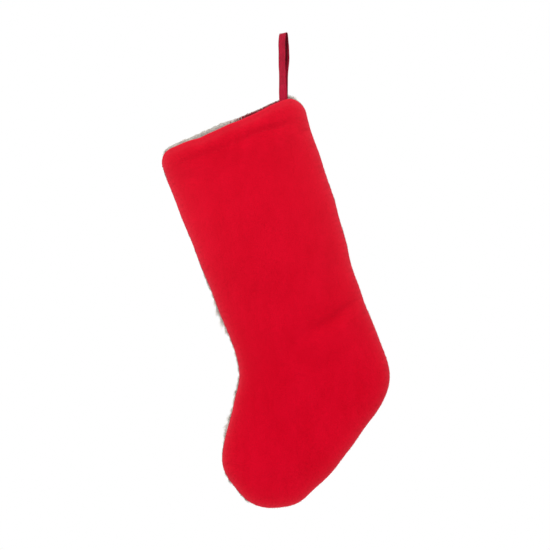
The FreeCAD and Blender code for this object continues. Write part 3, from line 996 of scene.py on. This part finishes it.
def fur_front(points, faces):
    """The fur, one piece for each shade of fibre."""
    draw = np.random.default_rng(77)
    count = int(FUR_FIBRES * (1))
    strands, tuft, tone = fur_strands(points, faces, count, draw)
    fringes = np.concatenate([seam_fringe(SEAM_FIBRES, draw), lip_fringe(LIP_FIBRES, draw)])
    clump = (fringes[:, 0] @ np.array([0.45, 0.2, 0.5])).astype(int) % FUR_TUFTS
    strands = np.concatenate([strands, fringes])
    tuft = np.concatenate([tuft, clump])
    mood = 0.38 * tone[tuft] + 0.50 * draw.uniform(size=len(strands))
    mood += 0.12 * PATCHES(strands[:, 0])
    mood[count:] -= 0.42      # painted light: the fringes get the paler fibres, standing in for the glow of the thin backlit fringe
    order = np.argsort(mood)
    start = 0
    for name, colour, part in SHADES:
        stop = start + int(part * len(strands))
        thing = strand_mesh(name, strands[order[start:stop]], 0.42, draw)
        start = stop
        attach(thing, "stocking")
        dress(thing, fur_material(name, colour))


# The pile's pieces, with the share of painted light that each one spans: the upper piece carries
# painted top light, the rim piece painted sheen.
PILES = (("plush_pile", 0.0, 0.07), ("plush_pile_painted_top_light", 0.07, 0.20), ("plush_pile_painted_rim_sheen", 0.20, 9.0))


def plush_pile(points, faces, painted_light):
    """Short upright fibres of the red plush, lying slightly downwards."""
    draw = np.random.default_rng(78)
    count = PILE_FIBRES
    normal = vertex_normals(points, faces)
    spot, chosen = scatter(points, faces, count, draw)
    grown = unit(normal[faces[chosen]].mean(1))
    grown *= -np.sign(grown[np.argmax(np.abs(grown[:, 1])), 1])
    lay = np.array([0.1, 0.0, -0.5])
    way = unit(grown + lay + 0.35 * draw.normal(size=(count, 3)))
    length = draw.uniform(0.6, 1.1, count)[:, None]
    middle, tip = spot + way * length * 0.6, spot + (way + 0.3 * lay) * length
    strands = np.stack([spot - 0.2 * grown, middle, tip], axis=1)
    # the painted light under each fibre picks its piece and its share of painted sheen
    tone = painted_light[faces[chosen]].mean(1)
    for name, low, high in PILES:
        these = (tone >= low) & (tone < high)
        thing = strand_mesh(name, strands[these], 0.32, draw)
        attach(thing, "stocking")
        dress(thing, pile_material(name, float(tone[these].mean())))


# ---------------------------------------------------------------- lining

def lining(name, forwards, depth, clearance, seed):
    """One half of the lining bag, hanging just inside its panel."""
    flat, faces, boundary, sides = flat_grid(OUTLINE.offset(LINING_INSET), LINING_TOP, 3.2)
    points, _, _, _, inside = shape_half(flat, forwards, depth, near_lip, 0.4)
    off = np.abs(points[:, 1] - SEAM) - clearance - 0.5 - 0.5 * Waves(26, seed=seed)(flat)
    off *= np.sqrt(smooth(inside, LINING_INSET, LINING_INSET + 9))
    points[:, 1] = SEAM + (-1 if forwards else 1) * np.maximum(off, 0.15)
    points[:, [0, 2]] = flat
    faces = turned_out(points, faces, flat, forwards)
    walls = np.full(len(points), LINING_WALL)
    shell, triangles = closed_shell(points, faces, boundary, sides, walls, 2)
    thing = mesh_object(name, shell * MM, triangles)
    fix_normals(thing)
    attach(thing, "stocking")
    return thing


# ---------------------------------------------------------------- ribbon

RIBBON_WIDTH = 10.0
ACROSS = 9                 # points across each face of the ribbon
RIBBON_STEP = 0.5          # between places along the ribbon
LAYER_OUT = 0.36           # from the middle of two layers that touch to each one's middle
LOOP_BEND = 4.0            # the bend at the loop's top, where it hangs on a hook
TOP_TILT = 0.14            # rise over width of the loop's top, which sits askew on its hook
LEGS_MEET = -46.0          # height at which the loop's two legs come together
LOOP_FOOT = -53.0          # heights at which the ribbon passes from one piece to the next
NECK_FOOT = -61.0
RIBBON_FOOT = -100.0


def leg_spread(z):
    """Half the sideways distance between the ribbon's two legs, at a height in mm."""
    apart = 0.3 + 1.2 * smooth(z, -75, -45) + 0.1 * bell(z, -37, 10)
    return apart - 1.1 * smooth(z, -40, -20) - 2.0 * smooth(z, -24, 2)


def ribbon_middle(z):
    """How far the whole ribbon bows sideways, at a height in mm."""
    return 0.8 * bell(z, -30, 16)


def ribbon_turn(z):
    """How far the ribbon's width is turned about the vertical, at a height in mm."""
    return -math.radians(37) * smooth(z, -84, -54)


def loop_path():
    """The loop's line, front leg up and rear leg down: (out, height, sideways)."""
    top = -LOOP_BEND
    points = [(-LAYER_OUT, z) for z in np.linspace(LOOP_FOOT, LEGS_MEET, 20)]
    for share in np.linspace(0, 1, 40)[1:]:
        out = LAYER_OUT + (LOOP_BEND - LAYER_OUT) * math.sin(share * math.pi / 2) ** 1.1
        points.append((-out, LEGS_MEET + (top - LEGS_MEET) * share))
    for angle in np.linspace(math.pi, math.pi / 2, 20)[1:]:
        points.append((LOOP_BEND * math.cos(angle), top + LOOP_BEND * math.sin(angle)))
    points += [(-out, z) for out, z in points[-2::-1]]
    path = resampled(softened(resampled(np.array(points), 0.4), 4), RIBBON_STEP)
    bend = 1 / 15             # half the bend's share of the loop
    leg = 2 * smooth(np.linspace(0, 1, len(path)), 0.5 - bend, 0.5 + bend) - 1
    z = path[:, 1]
    return np.column_stack([path, ribbon_middle(z) + leg * leg_spread(z)])


def ribbon_points(path):
    """Both faces' points at every place of a line (out, height, sideways), in mm.

    The ribbon is thin cloth with a firmer selvedge, slightly cupped and wavering along the loop.
    """
    across = np.linspace(-1, 1, ACROSS)
    wall = 0.21 + 0.10 * smooth(np.abs(across), 0.86, 0.97)
    way = np.gradient(path[:, :2], axis=0)
    way /= np.linalg.norm(way, axis=1)[:, None]
    points = []
    for (out, z, sideways), (way_out, way_up) in zip(path, way):
        turn = ribbon_turn(z)
        wide = np.array([math.cos(turn), math.sin(turn), 0])
        ahead = np.array([-math.sin(turn), math.cos(turn), 0])
        centre = ahead * out + wide * sideways + np.array([0, 0, z])
        face = ahead * way_up - np.array([0, 0, way_out])
        leg = math.copysign(1, sideways - ribbon_middle(z) + 1e-9)
        wander = 0.1 * math.sin(z / 5.1 + leg) + 0.05 * math.sin(z / 2.3 + 2 * leg)
        width = across * RIBBON_WIDTH / 2 * 0.985 + wander
        cup = 0.25 * across ** 2 * smooth(z, -60, -30)
        for side in (1, -1):
            row = centre + np.outer(width, wide) + np.outer(side * wall - cup, face)
            row[:, 2] += TOP_TILT * row[:, 0] * smooth(z, -14, -2)
            points.append(row)
    return np.vstack(points)


def ribbon_faces(places):
    """Faces round the section from place to place, and those of the two cut ends."""
    around = 2 * ACROSS
    ring = [*range(ACROSS), *range(around - 1, ACROSS - 1, -1)]
    last = (places - 1) * around
    sides = []
    for base in range(0, last, around):
        for a, b in zip(ring, ring[1:] + ring[:1]):
            sides.append((base + a, base + b, base + around + b, base + around + a))
    ends = []
    for base in (0, last):
        for k in range(base, base + ACROSS - 1):
            ends.append((k, k + 1, k + ACROSS + 1, k + ACROSS))
    return sides, ends


def ribbon_strip(name, path, satins):
    """The ribbon along a line, with its shiny face and its dull back as two materials; the back's
    darker colour is partly painted shade.
    """
    sides, ends = ribbon_faces(len(path))
    thing = mesh_object(name, ribbon_points(path) * MM, np.array(sides + ends))
    for made in satins:
        thing.data.materials.append(made)
    back = np.zeros(len(thing.data.polygons), np.int32)
    back[:len(sides)] = np.arange(len(sides)) % (2 * ACROSS) < ACROSS - 1
    thing.data.polygons.foreach_set("material_index", back)
    thing.data.polygons.foreach_set("use_smooth", np.arange(len(back)) < len(sides))
    fix_normals(thing)
    return thing


def joined(name, things):
    """Several meshes made into one piece."""
    bpy.ops.object.select_all(action="DESELECT")
    for thing in things:
        thing.select_set(True)
    bpy.context.view_layer.objects.active = things[0]
    bpy.ops.object.join()
    things[0].name = name
    things[0].data.name = name
    return things[0]


def double_ribbon(name, high, low, satins):
    """Two layers of ribbon face to face, between two heights in mm."""
    layers = []
    for leg in (-1, 1):
        z = np.arange(high, low - 0.01, -RIBBON_STEP)[::leg]
        out = np.full(len(z), LAYER_OUT * leg)
        path = np.column_stack([out, z, ribbon_middle(z) + leg * leg_spread(z)])
        layers.append(ribbon_strip(name + "_layer", path, satins))
    return joined(name, layers)


# ---------------------------------------------------------------- thread

ROUND = 6                  # sides of a stitch's thread
# Places along a stitch, and its thickness there as a share of the thread's.
STITCH_PROFILE = ((0.0, 0.45), (0.12, 0.9), (0.4, 1.0), (0.6, 1.0), (0.88, 0.9), (1.0, 0.45))


def stitch(start, stop, radius, lift):
    """One stitch as a short bowed rod with rounded ends: points and triangles, in mm."""
    start, stop, lift = (np.array(place, float) for place in (start, stop, lift))
    way = (stop - start) / np.linalg.norm(stop - start)
    side = np.cross(way, lift)
    side /= np.linalg.norm(side)
    up = np.cross(side, way)
    points = []
    for share, size in STITCH_PROFILE:
        centre = start + (stop - start) * share + lift * math.sin(share * math.pi)
        for k in range(ROUND):
            angle = 2 * math.pi * k / ROUND
            points.append(centre + radius * size * (math.cos(angle) * side + math.sin(angle) * up))
    faces = []
    last = (len(STITCH_PROFILE) - 1) * ROUND
    for row in range(0, last, ROUND):
        for k in range(ROUND):
            a, b = row + k, row + (k + 1) % ROUND
            faces += [(a, b, b + ROUND), (a, b + ROUND, a + ROUND)]
    for k in range(1, ROUND - 1):
        faces += [(0, k + 1, k), (last, last + k, last + k + 1)]
    return np.array(points), np.array(faces)


def thread_object(name, stitches):
    """All stitches of one row as one piece."""
    points, faces, total = [], [], 0
    for spots, triangles in stitches:
        points.append(spots)
        faces.append(triangles + total)
        total += len(spots)
    thing = mesh_object(name, np.vstack(points) * MM, np.vstack(faces))
    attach(thing, "stocking")
    return thing


def surface_lookup(points):
    """A function that gives the place along y of a panel's outer face, at an x and z in mm."""
    tree = search_tree(planar(points[:, [0, 2]]))

    def depth(x, z):
        found = tree.find_n((x, z, 0), 3)
        weights = [1 / (distance + 0.05) for _, _, distance in found]
        return sum(points[i][1] * w for (_, i, _), w in zip(found, weights)) / sum(weights)

    return depth


def hem_stitches(depth, outward):
    """The row of stitches in a hem's groove, sunk into the pile; outward is along y."""
    made = []
    length, sink = 2.7, 0.46
    along = MOUTH_SPAN[0] + 9
    while along < MOUTH_SPAN[1] - 9:
        middle = along + HEM_PITCH / 2
        share = mouth_share(middle)
        row = near_lip(share) - hem_depth_at(share) - 1.1
        ends = []
        for reach in (middle - length / 2, middle + length / 2):
            x, z = mouth_place(reach, row)
            ends.append((x, depth(x, z) - outward * sink, z))
        made.append(stitch(*ends, 0.3, (0, outward * 0.22, 0)))
        along += HEM_PITCH
    return made


def seam_stitches():
    """Small stitches that cross the valley between the two cloths, all round the bag."""
    made = []
    height, _ = above_mouth(OUTLINE.path)
    inside = np.flatnonzero(height < -3)
    valley = RIM * (1 - math.cos(SEAM_DIP)) + 0.10
    for index in range(inside[0], inside[-1], 7):
        corner = corner_drop(abs(height[index]) / 1.6, 9)
        if height[index] > -14 - corner:
            continue
        out_x, out_z = OUTLINE.normal[index]
        x, z = OUTLINE.path[index] - OUTLINE.normal[index] * valley
        start = (x + 0.8 * out_z, SEAM - 0.85, z - 0.8 * out_x)
        stop = (x - 0.8 * out_z, SEAM + 0.85, z + 0.8 * out_x)
        made.append(stitch(start, stop, 0.24, (0.25 * out_x, 0, 0.25 * out_z)))
    return made


def overlock(depth):
    """Dense dark red whipping over the far lip's roll, where no fur stands over it; its darkness is
    partly painted shade of the gap between the two lips.
    """
    made = []
    draw = np.random.default_rng(5)
    over_roll = (0.55 * MOUTH_UP[0], -1.0, 0.55 * MOUTH_UP[1])
    along = MOUTH_SPAN[0] + 0.5 * (MOUTH_SPAN[1] - MOUTH_SPAN[0])
    while along < MOUTH_SPAN[1] - 17:
        lift = float(far_lip(mouth_share(along)))
        low = lift - 1.6 + draw.uniform(-0.5, 0.3)
        top = lift + 2.5 + draw.uniform(-0.6, 0.5)
        slant = draw.uniform(0.2, 1.4)
        y = depth(*mouth_place(along, lift))
        x_low, z_low = mouth_place(along, low)
        x_top, z_top = mouth_place(along + slant, top)
        along += 0.5
        if draw.uniform() <= smooth(mouth_share(along), 0.50, 0.64):
            made.append(stitch((x_low, y - 4.7, z_low), (x_top, y - 2.3, z_top), 0.34, over_roll))
    return made


def bartack_stitches():
    """Three short rows of stitches through the ribbon's ends."""
    made = []
    y = 0.85
    for z in (-95.0, -91.0, -87.0):
        for x in np.linspace(-3.6, 3.6, 7):
            made.append(stitch((x, y, z - 1.2), (x + 0.5, y, z + 1.2), 0.3, (0, 0.25, 0)))
    return made


# ---------------------------------------------------------------- the pieces

def build_plush():
    """The red side and its pile. Returns its surface, for the stitches."""
    back, points, faces, painted_light = panel("plush_back", True, BACK_DEPTH, near_lip, PLUSH_WALLS, 1.0)
    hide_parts("back_panel")
    dress(back, plush_material())
    plush_pile(points, faces, painted_light)
    return surface_lookup(points)


def build_fur():
    """The grey side and its fur. Returns its surface, for the stitches."""
    front, points, faces, _ = panel("fur_cloth", False, FRONT_DEPTH, far_lip, FUR_WALLS, 0.4)
    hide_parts("front_panel")
    dress(front, knit_material())
    fur_front(points, faces)
    return surface_lookup(points)


def build_linings():
    cloth = lining_material()
    for name, node, forwards, depth, clearance, seed in (
            ("lining_back", "back_lining", True, BACK_DEPTH, 1.9, 41),
            ("lining_front", "front_lining", False, FRONT_DEPTH, 2.6, 42)):
        half = lining(name, forwards, depth, clearance, seed)
        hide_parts(node)
        dress(half, cloth)


def build_ribbon():
    """One ribbon in three pieces, each blended across the joint that it spans."""
    # the back satin is duller and, as painted shade of the loop's rear leg, half as bright as the
    # face
    satins = (ribbon_material("ribbon_face", (0.26, 0.003, 0.015), (0.42, 0.006, 0.027), 0.38),
              ribbon_material("ribbon_back_shaded", (0.13, 0.0015, 0.006), (0.21, 0.003, 0.013), 0.6))
    loop = ribbon_strip("ribbon_loop", loop_path(), satins)
    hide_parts("hanging_loop")
    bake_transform(loop)

    neck = double_ribbon("ribbon_neck", LOOP_FOOT, NECK_FOOT, satins)
    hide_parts("loop_neck_upper")
    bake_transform(neck)

    ends = double_ribbon("ribbon_ends", NECK_FOOT, RIBBON_FOOT, satins)
    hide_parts("loop_neck_lower", "loop_ends")
    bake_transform(ends)


def build_threads(back_depth, front_depth):
    """Every row of stitches, each with the CAD node that it replaces, if it has one."""
    red = thread_material("red_thread", (0.44, 0.003, 0.013), (0.60, 0.006, 0.020))
    # the overlock's dark maroon is partly thread colour and partly painted shade of the gap between
    # the lips
    maroon = thread_material("maroon_thread_gap_shade", (0.14, 0.003, 0.011), (0.26, 0.006, 0.020))
    grey = thread_material("grey_thread", (0.30, 0.28, 0.25), (0.50, 0.47, 0.43))
    for name, stitches, node, made in (
            ("plush_hem_stitches", hem_stitches(back_depth, -1), "back_hem_thread", red),
            ("fur_hem_stitches", hem_stitches(front_depth, 1), "front_hem_thread", grey),
            ("lip_overlock_gap_shade", overlock(front_depth), None, maroon),
            ("seam_stitches", seam_stitches(), "side_seam_thread", red),
            ("ribbon_bartack", bartack_stitches(), "loop_bartack", red)):
        rows = thread_object(name, stitches)
        if node:
            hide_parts(node)
        dress(rows, made)


# ---------------------------------------------------------------- stage, in metres

FLOOR_DROP = 0.38          # from the stocking's lowest point to the floor
CAMERA_DISTANCE = 2.6
VIEW_WIDTH = 0.66
VIEW_CENTRE = (-0.0101, -0.2898)


def area_light(name, place, size, power):
    """A round soft light that shines on the stocking's middle."""
    data = bpy.data.lights.new(name, "AREA")
    data.shape = "DISK"
    data.size = size
    data.energy = power
    thing = bpy.data.objects.new(name, data)
    bpy.context.collection.objects.link(thing)
    thing.location = place
    aim = Vector((0, 0, -0.3)) - Vector(place)
    thing.rotation_euler = aim.to_track_quat("-Z", "Y").to_euler()


def white_world():
    """White all round: full white to the camera, a little less as light."""
    world = bpy.data.worlds.new("studio")
    world.use_nodes = True
    nodes, links = world.node_tree.nodes, world.node_tree.links
    back = nodes["Background"]
    back.inputs["Color"].default_value = (1, 1, 1, 1)
    path = nodes.new("ShaderNodeLightPath")
    strength = nodes.new("ShaderNodeMapRange")
    strength.inputs["To Min"].default_value = 0.66
    strength.inputs["To Max"].default_value = 1.0
    links.new(path.outputs["Is Camera Ray"], strength.inputs["Value"])
    links.new(strength.outputs["Result"], back.inputs["Strength"])
    bpy.context.scene.world = world


def pale_floor():
    """A floor well below the hanging stocking."""
    bpy.ops.mesh.primitive_circle_add(vertices=96, radius=2.0, fill_type="NGON",
                                      location=(0, 0, CAD_BOX[0][2] - FLOOR_DROP))
    floor = bpy.context.object
    floor.name = "floor"
    paint = Surface("floor", 0.8)
    paint.plain((0.86, 0.86, 0.85))
    floor.data.materials.append(paint.made)


def front_camera():
    """The camera faces the plush side squarely, from far enough away to see it nearly flat."""
    data = bpy.data.cameras.new("camera")
    camera = bpy.data.objects.new("camera", data)
    bpy.context.collection.objects.link(camera)
    camera.location = (VIEW_CENTRE[0], SEAM_Y - CAMERA_DISTANCE, VIEW_CENTRE[1])
    camera.rotation_euler = (math.pi / 2, 0, 0)
    data.sensor_fit = "HORIZONTAL"
    data.angle = 2 * math.atan(VIEW_WIDTH / 2 / CAMERA_DISTANCE)
    bpy.context.scene.camera = camera


def stage():
    pale_floor()
    white_world()
    area_light("key", (-0.7, -1.5, 1.35), 0.9, 38)
    area_light("fill", (1.5, -1.3, 0.1), 1.2, 5)
    area_light("rear", (0.8, 1.5, 1.2), 0.9, 38)
    front_camera()
    bpy.context.scene.view_settings.view_transform = "Standard"


stage()
plush_surface = build_plush()
fur_surface = build_fur()
build_linings()
build_ribbon()
build_threads(plush_surface, fur_surface)
